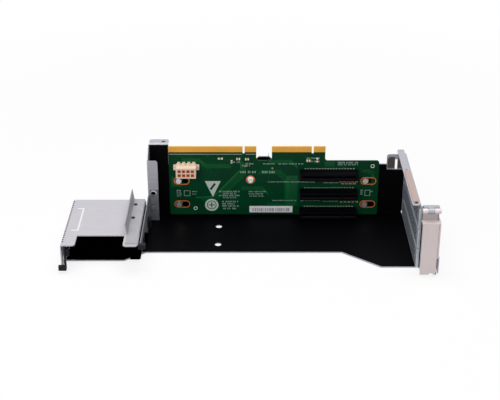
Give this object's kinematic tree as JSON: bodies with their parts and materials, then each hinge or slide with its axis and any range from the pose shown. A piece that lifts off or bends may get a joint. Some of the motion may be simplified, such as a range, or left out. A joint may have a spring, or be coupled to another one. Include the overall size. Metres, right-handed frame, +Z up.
{
  "type": "expansion riser card cage",
  "caption": "Upright riser board with card slots in a folded sheet cage with a perforated end plate, a side shelf and a hinged bracket latch.",
  "frame": {"origin": "on the surface under the middle of the whole part", "axes": "+X along the board to the card brackets, +Y from the card bay to the back wall, +Z up from the cover plate to the card edges"},
  "size_m": [0.3414, 0.1342, 0.0761],
  "materials": {
    "zinc_sheet": "zinc-plated sheet, satin",
    "pale_sheet": "zinc-plated sheet, satin",
    "bracket_sheet": "zinc-plated sheet, satin",
    "latch_sheet": "nickel-plated sheet, satin",
    "bright_metal": "bright plated steel",
    "black_film": "black insulating film, satin",
    "dark_plastic": "moulded, matt",
    "slot_plastic": "moulded, matt",
    "ivory_plastic": "moulded, satin",
    "board": "green solder mask",
    "gold": "gold-plated",
    "copper": "copper, satin",
    "chip": "fired ceramic",
    "label": "matt",
    "gasket": "conductive foam tape"
  },
  "bodies": {
    "frame": {"cage": "zinc_sheet", "bay_film": "black_film", "box_film": "black_film", "cage_rivets": "bright_metal", "shelf": "pale_sheet", "guide_angle": "pale_sheet", "divider_wall": "zinc_sheet", "divider_rivet": "bright_metal", "divider_clip": "dark_plastic", "cable_clip": "dark_plastic", "edge_guard": "dark_plastic", "gasket_strip": "gasket", "riser_board": "board", "edge_contacts": "gold", "plated_rings": "copper", "power_header": "ivory_plastic", "header_pins": "copper", "small_components": "chip", "board_label": "label", "keyhole_studs": "bright_metal", "board_standoff": "bright_metal", "board_screw": "bright_metal", "latch_pin": "bright_metal", "slot_connector_1": "slot_plastic", "slot_connector_2": "slot_plastic", "slot_connector_3": "slot_plastic", "slot_cover_1": "bracket_sheet", "slot_cover_2": "bracket_sheet", "slot_cover_3": "bracket_sheet"},
    "latch": {"latch_door": "latch_sheet", "latch_catch": "dark_plastic"}
  },
  "joints": [
    {"name": "latch_hinge", "type": "hinge", "parent": "frame", "child": "latch", "pos_m": [0.1612, -0.06055, 0.06295], "axis": [-1, 0, 0], "range_deg": [0, 100]}
  ]
}
